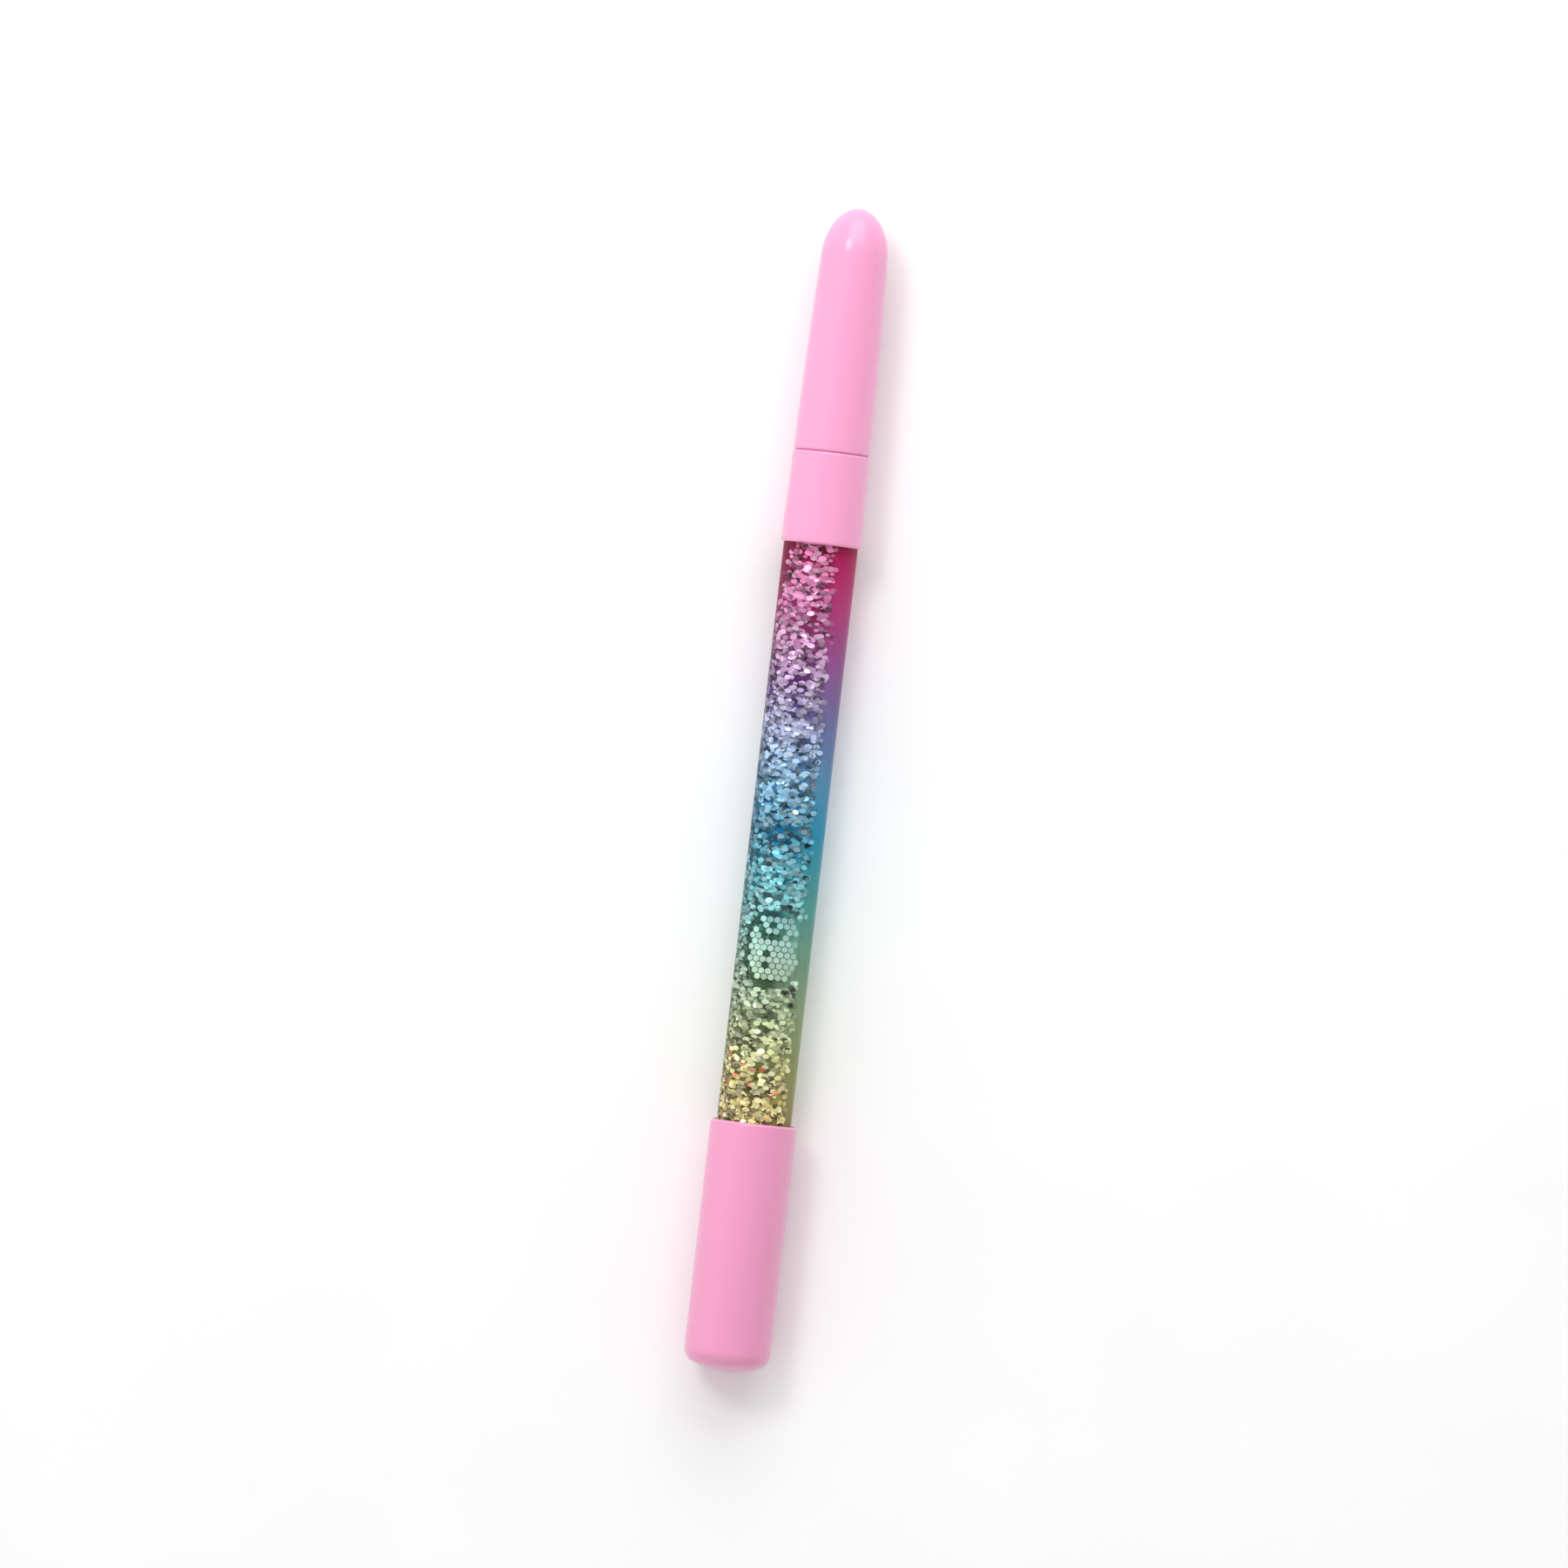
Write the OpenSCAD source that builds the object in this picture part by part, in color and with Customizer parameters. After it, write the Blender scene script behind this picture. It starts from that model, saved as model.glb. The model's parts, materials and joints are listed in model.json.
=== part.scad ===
// Gel pen with a clear barrel of floating glitter.
// The pen lies on its side, with its axis along Y and its cap towards +Y.
// Every piece is drawn standing up, with z counted from the tail end, and laid down at the end.

/* [Overall lengths] */
// Tail sleeve, from its closed end to its mouth
sleeve_len = 40.3; // [32:0.1:50]
// Clear tube that shows between the tail sleeve and the collar
tube_show = 93.4; // [60:0.1:130]
// Front collar
collar_len = 14.8; // [13.5:0.1:20]
// Cap, from its mouth to its tip
cap_len = 39.6; // [32:0.1:50]

/* [Clear tube] */
// Outer diameter of the clear tube
tube_d = 12; // [10:0.1:15]
// Wall of the clear tube
tube_wall = 0.9; // [0.6:0.05:1.1]
// How far the tube reaches into the collar
tube_in_collar = 9.5; // [8.5:0.1:9.8]
// Gap that holds the glue round the tube
glue_gap = 0.05; // [0.02:0.01:0.1]

/* [Tail sleeve] */
// Wall of the sleeve round the tube
sleeve_wall = 0.9; // [0.7:0.05:1.5]
// Radius of the edge of the closed end
sleeve_corner_r = 2.6; // [1.5:0.1:3.2]
// Radius of the slightly domed face of the closed end
sleeve_crown_r = 14.8; // [12:0.1:40]
// Thickness of the closed end at its middle
sleeve_end_wall = 1.5; // [1.2:0.1:2]
// How far inside the sleeve the tube begins
tube_start = 4.2; // [3.8:0.1:6]

/* [Collar] */
// Wall of the collar's thin skirt round the tube
skirt_wall = 0.4; // [0.3:0.05:0.8]
// How much narrower the collar is in front than behind
collar_draft = 0.5; // [0.2:0.05:0.8]
// Rounding of the collar's back edge
collar_lip_r = 0.35; // [0.1:0.05:0.4]
// Thickness of the wall that closes the collar behind the refill
collar_web = 0.8; // [0.5:0.1:1]
// Wall of the collar round the nose
collar_wall = 1; // [0.8:0.05:1.4]

/* [Cap] */
// Wall of the cap at its mouth
cap_wall = 1.2; // [0.9:0.05:1.4]
// How much narrower the cap's mouth is than the collar
cap_step = 0.1; // [0:0.02:0.3]
// Gap at the seam between the collar and the cap
seam_gap = 0.15; // [0.1:0.05:0.4]
// Rounding of the two edges at the seam
seam_r = 0.25; // [0.1:0.05:0.35]
// Narrowing of the cap's radius from its mouth to its dome
cap_draft = 0.8; // [0.4:0.05:1.2]
// Outward bow of the cap's side at mid-length
cap_bow = 0.1; // [0:0.02:0.2]
// Length of the rounded dome at the cap's tip
dome_len = 7.6; // [5:0.1:9]
// Thickness of the cap's tip
cap_end_wall = 2.2; // [1.5:0.1:3]
// Diameter of the soft seal in the cap's tip
seal_d = 4.6; // [3.6:0.1:5]
// Length of the soft seal
seal_len = 2.6; // [2:0.1:3]
// Sliding clearance between the cap and the nose, on the radius
cap_fit = 0.05; // [0.02:0.01:0.1]

/* [Nose] */
// How far the nose reaches into the cap at full diameter
spigot_len = 8; // [6:0.1:10]
// Push-fit clearance between the nose and the collar, on the radius
nose_fit = 0.04; // [0.02:0.01:0.1]
// How far the nose steps in where the spigot ends
grip_step = 0.5; // [0.3:0.1:0.8]
// Diameter of the nose where the metal point comes out
nose_tip_d = 4.4; // [4:0.1:5]
// Thinnest wall of the nose round the ink reservoir
nose_wall = 0.8; // [0.6:0.05:1]
// Length of metal point that shows ahead of the nose
point_show = 4.2; // [3:0.1:5]

/* [Refill] */
// Length of the ink reservoir
reservoir_len = 16; // [13:0.5:18]
// Wall of the ink reservoir
reservoir_wall = 0.4; // [0.3:0.05:0.5]
// Clearance round the refill, on the radius
refill_gap = 0.15; // [0.1:0.05:0.3]
// Diameter of the metal point
point_d = 2.3; // [2:0.1:2.6]
// Diameter of the writing ball
ball_d = 0.7; // [0.5:0.1:1]
// Length of the vented plug in the back of the reservoir
vent_plug_len = 2.4; // [1.5:0.1:3]
// Length of the grease plug that follows the ink
grease_len = 1.8; // [1:0.1:2.5]

/* [Liquid and glitter] */
// Length of the stopper in the back of the tube
rear_plug_len = 6.5; // [4:0.1:9]
// Length of the stopper in the front of the tube
front_plug_len = 3.8; // [3:0.1:4]
// Thickness of the sealing resin over each stopper
resin_len = 1; // [0.5:0.1:1.2]
// Diameter of the air bubble
bubble_d = 6.4; // [4:0.1:7]
// Length of the air bubble
bubble_len = 12; // [9:0.1:20]
// Place of the bubble's middle along the liquid, 0 at the back and 1 at the front
bubble_place = 0.447; // [0.2:0.01:0.8]
// Width of a large hexagonal flake, across its flats
flake_w = 1.1; // [0.8:0.1:1.3]
// Width of a fine flake, across its flats
fine_flake_w = 0.7; // [0.5:0.1:0.8]
// Thickness of a flake
flake_t = 0.06; // [0.04:0.01:0.1]
// Number of flakes of all kinds
flake_count = 168; // [60:12:240]
// Angle of the band along the tube's side that no flake covers
clear_angle = 110; // [40:5:140]
// How far the cloud of flakes can drift each way
drift = 3; // [1:0.5:3]

/* [Hidden] */
$fn = 96;

// A tiny overlap that lets cuts run past the faces that they open
eps = 0.01;

// Diameters that fit round one another, from the tube outwards
tube_bore = tube_d - 2 * tube_wall;
socket_d = tube_d + 2 * glue_gap;
sleeve_d = socket_d + 2 * sleeve_wall;
collar_back_d = socket_d + 2 * skirt_wall;
collar_front_d = collar_back_d - collar_draft;
cap_mouth_d = collar_front_d - cap_step;
nose_socket_d = collar_front_d - 2 * collar_wall;
nose_plug_d = nose_socket_d - 2 * nose_fit;
cap_bore = cap_mouth_d - 2 * cap_wall;
spigot_d = cap_bore - 2 * cap_fit;

// Places along the pen, from the tail end
collar_z = sleeve_len + tube_show;
seam_z = collar_z + collar_len;
tip_z = seam_z + cap_len;
tube_end_z = collar_z + tube_in_collar;
web_front_z = tube_end_z + collar_web;
cap_mouth_z = seam_z + seam_gap;
total_len = tip_z;

// The liquid's chamber, between the two stoppers
liquid_z0 = tube_start + resin_len + rear_plug_len;
liquid_z1 = tube_end_z - resin_len - front_plug_len;
liquid_len = liquid_z1 - liquid_z0;

// The cap's inside: the seal sits behind the end wall, and the ball stops just short of it
seal_front_z = tip_z - cap_end_wall;
seal_back_z = seal_front_z - seal_len;
seal_cup_depth = 1;
ball_clearance = 0.3;
point_tip_z = seal_back_z + seal_cup_depth - ball_clearance;

// The nose, a spigot behind and a cone in front
nose_front_z = point_tip_z - point_show;
spigot_end_z = seam_z + spigot_len;
cone_back_d = spigot_d - 2 * grip_step;
function cone_d(z) =
    cone_back_d + (nose_tip_d - cone_back_d) * (z - spigot_end_z) / (nose_front_z - spigot_end_z);

// The ink reservoir, as wide as the nose allows at the reservoir's front end
reservoir_z0 = web_front_z + refill_gap;
reservoir_z1 = reservoir_z0 + reservoir_len;
reservoir_hole_end_z = reservoir_z1 + refill_gap;
reservoir_hole_d = cone_d(reservoir_hole_end_z) - 2 * nose_wall;
reservoir_d = reservoir_hole_d - 2 * refill_gap;
reservoir_bore = reservoir_d - 2 * reservoir_wall;

// The metal point: a shank that the holder grips, and a cone that ends at the ball
point_grip_len = 3.5;
point_cone_len = 3;
point_cone_tip_d = ball_d + 0.3;
point_rim_z = point_tip_z - ball_d / 4;
point_shank_z = point_rim_z - point_cone_len;
point_inset = 1.5;
point_back_z = nose_front_z - point_inset - point_grip_len;

// The tip holder: a plug in the reservoir, a collar against its end, and a long neck
holder_plug_len = 3;
holder_collar_len = 1.2;
neck_z0 = reservoir_z1 + holder_collar_len;
neck_z1 = nose_front_z - point_inset;
neck_front_d = point_d + 1;
neck_back_d = neck_front_d + 0.9;
ink_channel_d = 1;

// The ball turns in a seat that holds three quarters of it
ball_z = point_tip_z - ball_d / 2;
ball_play = 0.02;

// Grease and ink fill the reservoir one behind the other
air_behind_grease = 1.6;
grease_z0 = reservoir_z0 + vent_plug_len + air_behind_grease;
ink_z0 = grease_z0 + grease_len;
ink_z1 = reservoir_z1 - holder_plug_len;

// The flakes lie flat near the tube's wall, in two layers
flake_wall_gap = 0.1;
flake_layer_step = 0.38;
flake_outer_r = tube_bore / 2 - flake_wall_gap - flake_t / 2;
flake_inner_r = flake_outer_r - flake_layer_step;
flake_z0 = liquid_z0 + drift + flake_w;
flake_z1 = liquid_z1 - drift - flake_w;
golden_share = (sqrt(5) - 1) / 2;
liquid_clearance = 0.03;

// A few red flakes lie in one short stretch of the cloud, given as shares of its length
red_flake_w = 1;
red_flake_step = 3;
red_flakes_from = 0.22;
red_flakes_to = 0.3;

// The bubble floats up against the flakes, and leaves them room on its way along the tube
bubble_path_gap = 0.1;
bubble_z = liquid_z0 + bubble_place * liquid_len;
bubble_lift = flake_inner_r - flake_t / 2 - bubble_path_gap - bubble_d / 2;

// Finishes
pink = [0.95, 0.62, 0.79];
clear_tint = [0.45, 0.6, 0.75, 0.35];
milky = [0.9, 0.9, 0.88, 0.7];

// ---- helpers ----

// Lays an upright piece on its side, over the middle of the pen's length
module lay() {
    translate([0, -total_len / 2, sleeve_d / 2]) rotate([-90, 0, 0]) children();
}

// A solid round bar between two heights
module bar(d, z0, z1) {
    translate([0, 0, z0]) cylinder(d = d, h = z1 - z0);
}

// A round bar whose diameter changes evenly
module taper(d0, d1, z0, z1) {
    translate([0, 0, z0]) cylinder(d1 = d0, d2 = d1, h = z1 - z0);
}

// A square-ended tube between two heights
module sleeve(d_out, d_in, z0, z1) {
    difference() {
        bar(d_out, z0, z1);
        bar(d_in, z0 - eps, z1 + eps);
    }
}

// A bar with round ends, of a given overall length, centred at a height
module capsule(d, len, z) {
    straight = (len - d) / 2;
    rotate_extrude() intersection() {
        union() {
            translate([0, z - straight]) square([d / 2, 2 * straight]);
            translate([0, z - straight]) circle(d = d);
            translate([0, z + straight]) circle(d = d);
        }
        translate([0, z - len]) square([d, 2 * len]);
    }
}

// Points of an arc about a centre, from one angle to another
function arc(cx, cy, r, from, to, steps) = [
    for (i = [0:steps]) let (a = from + (to - from) * i / steps) [cx + r * cos(a), cy + r * sin(a)]
];

// ---- barrel ----

// Outline of the sleeve's closed end: a crown that runs smoothly into a corner of a smaller radius
sleeve_r = sleeve_d / 2;
corner_x = sleeve_r - sleeve_corner_r;
corner_y = sleeve_crown_r - sqrt(pow(sleeve_crown_r - sleeve_corner_r, 2) - pow(corner_x, 2));
crown_angle = asin(corner_x / (sleeve_crown_r - sleeve_corner_r));
mouth_round_r = sleeve_wall - 0.1;

module tail_sleeve() {
    color(pink) lay() difference() {
        rotate_extrude() polygon(concat(
            arc(0, sleeve_crown_r, sleeve_crown_r, -90, -90 + crown_angle, 6),
            arc(corner_x, corner_y, sleeve_corner_r, -90 + crown_angle, 0, 12),
            arc(sleeve_r - mouth_round_r, sleeve_len - mouth_round_r, mouth_round_r, 0, 90, 10),
            [[0, sleeve_len]]
        ));
        bar(socket_d, tube_start, sleeve_len + eps);
        bar(socket_d - 2 * sleeve_corner_r, sleeve_end_wall, tube_start + eps);
    }
}

module barrel_tube() {
    color(clear_tint) lay() sleeve(tube_d, tube_bore, tube_start, tube_end_z);
}

// A soft stopper has three shallow sealing ribs, which are what touches the tube
module stopper(z0, len) {
    rib = len / 5;
    relief = 0.4;
    bar(tube_bore - 2 * relief, z0, z0 + len);
    for (i = [0:2]) bar(tube_bore, z0 + 2 * i * rib, z0 + (2 * i + 1) * rib);
}

module rear_stopper() {
    color(milky) lay() stopper(tube_start + resin_len, rear_plug_len);
}

module rear_resin() {
    color(milky) lay() bar(tube_bore, tube_start, tube_start + resin_len);
}

module front_stopper() {
    color(milky) lay() stopper(liquid_z1, front_plug_len);
}

module front_resin() {
    color(milky) lay() bar(tube_bore, tube_end_z - resin_len, tube_end_z);
}

// The collar's outside narrows in a smooth curve, between a rounded back edge and the seam's edge
function collar_r(s) = collar_back_d / 2 - collar_draft / 2 * (3 * s * s - 2 * s * s * s);

module front_collar() {
    side_z0 = collar_z + collar_lip_r;
    side_z1 = seam_z - seam_r;
    color(pink) lay() difference() {
        rotate_extrude() polygon(concat(
            [[0, collar_z]],
            arc(collar_back_d / 2 - collar_lip_r, side_z0, collar_lip_r, -90, 0, 6),
            [for (i = [1:11]) let (s = i / 12) [collar_r(s), side_z0 + (side_z1 - side_z0) * s]],
            arc(collar_front_d / 2 - seam_r, side_z1, seam_r, 0, 90, 6),
            [[0, seam_z]]
        ));
        bar(socket_d, collar_z - eps, tube_end_z);
        bar(nose_socket_d, web_front_z, seam_z + eps);
    }
}

// ---- liquid, bubble and glitter ----

// Moves a piece from the tube's axis to where the bubble floats in the lying pen
module float_up() {
    translate([0, -bubble_lift, 0]) children();
}

module barrel_liquid() {
    color(clear_tint) lay() difference() {
        bar(tube_bore, liquid_z0, liquid_z1);
        float_up() capsule(
            bubble_d + 2 * liquid_clearance, bubble_len + 2 * liquid_clearance, bubble_z
        );
        for (i = [0:flake_count - 1]) flake(i, liquid_clearance);
    }
}

// The bubble is drawn as its thin skin
module air_bubble() {
    skin = 0.1;
    color([0.8, 0.95, 0.9, 0.5]) lay() float_up() difference() {
        capsule(bubble_d, bubble_len, bubble_z);
        capsule(bubble_d - 2 * skin, bubble_len - 2 * skin, bubble_z);
    }
}

// Every third flake of the red stretch is red, and every other flake of the rest is a fine one
function is_red(i) =
    i % red_flake_step == 1 && i > red_flakes_from * flake_count && i < red_flakes_to * flake_count;
function flake_size(i) = is_red(i) ? red_flake_w : i % 2 == 0 ? flake_w : fine_flake_w;

// One flake: a spiral with the golden share of a turn between neighbours spreads them evenly
module flake(i, grow = 0) {
    share = i * golden_share - floor(i * golden_share);
    angle = clear_angle / 2 + (360 - clear_angle) * share;
    z = flake_z0 + (flake_z1 - flake_z0) * (i + 0.5) / flake_count;
    r = i % 4 < 2 ? flake_inner_r : flake_outer_r;
    width = flake_size(i) + 2 * grow;
    rotate([0, 0, angle]) translate([r - flake_t / 2 - grow, 0, z]) rotate([0, 90, 0])
        cylinder(d = width / cos(30), h = flake_t + 2 * grow, $fn = 6);
}

module glitter_large() {
    color([0.85, 0.88, 0.95]) lay()
        for (i = [0:2:flake_count - 1]) if (!is_red(i)) flake(i);
}

module glitter_fine() {
    color([0.8, 0.9, 0.85]) lay()
        for (i = [1:2:flake_count - 1]) if (!is_red(i)) flake(i);
}

module glitter_red() {
    color([0.9, 0.45, 0.3]) lay()
        for (i = [0:flake_count - 1]) if (is_red(i)) flake(i);
}

// ---- nose ----

nose_tip_r = 0.4;

module nose_cone() {
    plug_r = nose_plug_d / 2;
    spigot_r = spigot_d / 2;
    gap_d = 2 * refill_gap;
    collar_room_z = neck_z0 + refill_gap;
    neck_room_z = neck_z1 + refill_gap;
    color(pink) lay() difference() {
        rotate_extrude() polygon(concat(
            [[0, web_front_z], [plug_r, web_front_z], [plug_r, seam_z], [spigot_r, seam_z]],
            [[spigot_r, spigot_end_z], [cone_back_d / 2, spigot_end_z]],
            arc(nose_tip_d / 2 - nose_tip_r, nose_front_z - nose_tip_r, nose_tip_r, 10, 90, 5),
            [[0, nose_front_z]]
        ));
        bar(reservoir_hole_d, web_front_z - eps, collar_room_z);
        taper(neck_back_d + gap_d, neck_front_d + gap_d, collar_room_z - eps, neck_room_z);
        bar(point_d + gap_d, neck_room_z - eps, nose_front_z + eps);
    }
}

// ---- cap ----

dome_z = tip_z - dome_len;
side_len = dome_z - cap_mouth_z;
bore_step = 0.6;
seal_ledge = 1.2;

// Radius of the cap's side at a share of its length, which carries on under the dome
function cap_side_r(s) = cap_mouth_d / 2 - cap_draft * s + 4 * cap_bow * s * (1 - s);

// The dome multiplies the side's radius by a cosine, so the two meet without a corner
function dome_point(a) = [
    cap_side_r((dome_z + dome_len * sin(a) - cap_mouth_z) / side_len) * cos(a),
    dome_z + dome_len * sin(a)
];

module cap_shell() {
    hollow_z0 = spigot_end_z + bore_step;
    color(pink) lay() difference() {
        rotate_extrude() polygon(concat(
            [[0, cap_mouth_z]],
            arc(cap_mouth_d / 2 - seam_r, cap_mouth_z + seam_r, seam_r, -90, 0, 6),
            [for (i = [1:7]) let (s = i / 8) [cap_side_r(s), cap_mouth_z + side_len * s]],
            [for (i = [0:15]) dome_point(i * 6)]
        ));
        bar(cap_bore, cap_mouth_z - eps, hollow_z0);
        taper(cap_bore - bore_step, seal_d + 2 * seal_ledge, hollow_z0 - eps, seal_back_z);
        bar(seal_d, seal_back_z - eps, seal_front_z);
    }
}

// The seal's cup faces the writing ball
module cap_seal() {
    color("dimgray") lay() difference() {
        bar(seal_d, seal_back_z, seal_front_z);
        taper(seal_d - 1, point_cone_tip_d + 2 * ball_clearance,
            seal_back_z - eps, seal_back_z + seal_cup_depth);
    }
}

// ---- refill ----

module refill_reservoir() {
    color([0.9, 0.92, 0.95, 0.4]) lay()
        sleeve(reservoir_d, reservoir_bore, reservoir_z0, reservoir_z1);
}

module refill_vent_plug() {
    vent_d = 0.8;
    color("white") lay()
        sleeve(reservoir_bore, vent_d, reservoir_z0, reservoir_z0 + vent_plug_len);
}

module ink_column() {
    color([0.1, 0.1, 0.12]) lay() bar(reservoir_bore, ink_z0, ink_z1);
}

module follower_grease() {
    grease_fit = 0.03;
    color([0.85, 0.8, 0.55, 0.6]) lay() bar(reservoir_bore - 2 * grease_fit, grease_z0, ink_z0);
}

module tip_holder() {
    color("white") lay() difference() {
        union() {
            bar(reservoir_bore, ink_z1, reservoir_z1 + eps);
            bar(reservoir_d, reservoir_z1, neck_z0);
            taper(neck_back_d, neck_front_d, neck_z0 - eps, neck_z1);
        }
        bar(ink_channel_d, ink_z1 - eps, point_back_z + eps);
        bar(point_d, point_back_z, neck_z1 + eps);
    }
}

point_throat_d = ball_d / 2;
spring_room_d = ball_d + 0.3;
spring_z0 = point_back_z + 0.6;
spring_z1 = ball_z - ball_d / 2 - ball_play - 0.35;

module point_housing() {
    color("gainsboro") lay() difference() {
        union() {
            bar(point_d, point_back_z, point_shank_z);
            taper(point_d, point_cone_tip_d, point_shank_z - eps, point_rim_z);
        }
        bar(spring_room_d, spring_z0, spring_z1);
        bar(point_throat_d, point_back_z - eps, point_tip_z);
        translate([0, 0, ball_z]) sphere(d = ball_d + 2 * ball_play);
    }
}

// A light spring behind the ball, drawn as one fine wire in close turns
spring_wire_d = 0.12;
spring_turns = 9;
spring_steps = 12;
spring_sides = 6;

module ball_spring() {
    mid_r = (spring_room_d - spring_wire_d) / 2 - ball_play;
    wire_r = spring_wire_d / 2;
    rise = spring_z1 - spring_z0 - 2 * spring_wire_d;
    rings = spring_turns * spring_steps;
    points = [
        for (i = [0:rings], j = [0:spring_sides - 1])
            let (
                turn = 360 * i / spring_steps,
                side = 360 * j / spring_sides,
                r = mid_r + wire_r * cos(side)
            )
            [r * cos(turn), r * sin(turn),
                spring_z0 + spring_wire_d + rise * i / rings + wire_r * sin(side)]
    ];
    sides = [
        for (i = [0:rings - 1], j = [0:spring_sides - 1])
            let (k = (j + 1) % spring_sides, a = i * spring_sides, b = a + spring_sides)
            [a + j, b + j, b + k, a + k]
    ];
    ends = [
        [for (j = [0:spring_sides - 1]) j],
        [for (j = [spring_sides - 1:-1:0]) rings * spring_sides + j]
    ];
    color("silver") lay() polyhedron(points, concat(ends, sides));
}

module writing_ball() {
    color("gray") lay() translate([0, 0, ball_z]) sphere(d = ball_d);
}

tail_sleeve();
barrel_tube();
rear_stopper();
rear_resin();
barrel_liquid();
glitter_large();
glitter_fine();
glitter_red();
air_bubble();
front_stopper();
front_resin();
front_collar();
nose_cone();
cap_shell();
cap_seal();
refill_reservoir();
refill_vent_plug();
ink_column();
follower_grease();
tip_holder();
point_housing();
ball_spring();
writing_ball();
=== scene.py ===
# %% [markdown]
# # A gel pen with a clear barrel of floating glitter
#
# The pen lies on a pale table. Its barrel is a clear tube full of tinted oil, in which thousands of
# shiny hexagonal flakes and one long air bubble drift about. A glossy pink sleeve closes the tail,
# and a pink collar and cap close the writing end.
#
# The engineering model arrives first and fixes every place and size. This lesson then gives each
# piece the shape and the finish that the eye expects, without moving anything.

# %% Load the pen
import json
import math
import random

import bmesh
import bpy
from mathutils import Matrix, Vector


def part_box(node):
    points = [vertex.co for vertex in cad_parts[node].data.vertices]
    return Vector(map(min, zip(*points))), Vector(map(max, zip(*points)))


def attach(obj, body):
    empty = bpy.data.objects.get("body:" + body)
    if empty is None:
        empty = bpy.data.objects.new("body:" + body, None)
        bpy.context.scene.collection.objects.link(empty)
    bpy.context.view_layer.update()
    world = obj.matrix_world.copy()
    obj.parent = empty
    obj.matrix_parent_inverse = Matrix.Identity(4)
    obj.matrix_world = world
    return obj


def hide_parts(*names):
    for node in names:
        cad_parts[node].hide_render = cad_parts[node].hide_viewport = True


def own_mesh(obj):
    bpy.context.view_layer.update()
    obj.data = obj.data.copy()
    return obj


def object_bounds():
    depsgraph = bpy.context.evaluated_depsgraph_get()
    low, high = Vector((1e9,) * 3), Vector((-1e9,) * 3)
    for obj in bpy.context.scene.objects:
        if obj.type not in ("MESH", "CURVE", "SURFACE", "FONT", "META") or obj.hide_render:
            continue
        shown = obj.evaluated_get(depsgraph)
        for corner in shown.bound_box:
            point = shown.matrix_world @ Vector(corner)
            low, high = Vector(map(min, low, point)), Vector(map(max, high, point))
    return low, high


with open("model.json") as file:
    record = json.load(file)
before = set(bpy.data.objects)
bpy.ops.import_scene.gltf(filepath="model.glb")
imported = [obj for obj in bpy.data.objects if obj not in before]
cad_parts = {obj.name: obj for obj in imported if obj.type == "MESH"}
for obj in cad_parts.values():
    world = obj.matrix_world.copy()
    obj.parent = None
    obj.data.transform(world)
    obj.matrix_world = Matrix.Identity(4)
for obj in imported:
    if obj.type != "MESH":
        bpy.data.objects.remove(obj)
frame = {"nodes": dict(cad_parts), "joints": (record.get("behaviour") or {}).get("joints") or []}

cad_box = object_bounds()
print("overall size in mm:", [round((high - low) * 1000, 1) for low, high in zip(*cad_box)])

# %% [markdown]
# ## Measuring along the pen
#
# A pen is easiest to describe as a turner would: how far along from the tail end, and how thick
# there. The pen lies along the Y axis, so these helpers turn such millimetres into places in the
# scene, and read them back from the engineering model.

# %% Helpers that measure
MM = 0.001
TAIL_Y = cad_box[0][1]
AXIS_HEIGHT = (cad_box[0][2] + cad_box[1][2]) / 2


def extent(node):
    """Where a piece starts and ends along the pen, and its radius, in millimetres."""
    low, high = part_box(node)
    radius = (high[0] - low[0]) / 2
    return (low[1] - TAIL_Y) / MM, (high[1] - TAIL_Y) / MM, radius / MM


def place(radius, angle, along):
    """A point of the scene, from its distance to the pen's axis, its angle from the top of the pen
    towards +X in radians, and its distance from the tail end."""
    return Vector((
        radius * math.sin(angle) * MM,
        TAIL_Y + along * MM,
        AXIS_HEIGHT + radius * math.cos(angle) * MM,
    ))


for node in ("tail_sleeve", "barrel_tube", "front_collar", "cap_shell"):
    print(node, [round(value, 2) for value in extent(node)])

# %% [markdown]
# ## Turning shapes on a lathe
#
# Almost every piece of a pen is round. In a factory they are moulded, but a wood turner would make
# the same shapes on a lathe: draw half of the outline, and spin it. Blender's Screw modifier does
# this too. Building the rings in code lets us share one clean function between all the pieces, and
# mark the sharp corners as we go, so that highlights break exactly where the real edges are.

# %% Helpers that turn outlines into pieces
LATHE_SIDES = 192
SHARP_TURN = math.radians(28)


def arc(radius_at, along_at, size, start, end, steps):
    """Points of a round corner, as (radius, along). Angles are in degrees, 0 pointing outwards from
    the pen's axis and 90 pointing along it towards the cap."""
    points = []
    for step in range(steps + 1):
        angle = math.radians(start + (end - start) * step / steps)
        points.append((radius_at + size * math.cos(angle), along_at + size * math.sin(angle)))
    return points


def turn_angle(before, corner, after):
    """How sharply an outline turns at a corner."""
    first = Vector(corner) - Vector(before)
    second = Vector(after) - Vector(corner)
    if first.length < 1e-9 or second.length < 1e-9:
        return 0.0
    return abs(first.angle_signed(second, 0.0))


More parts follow.
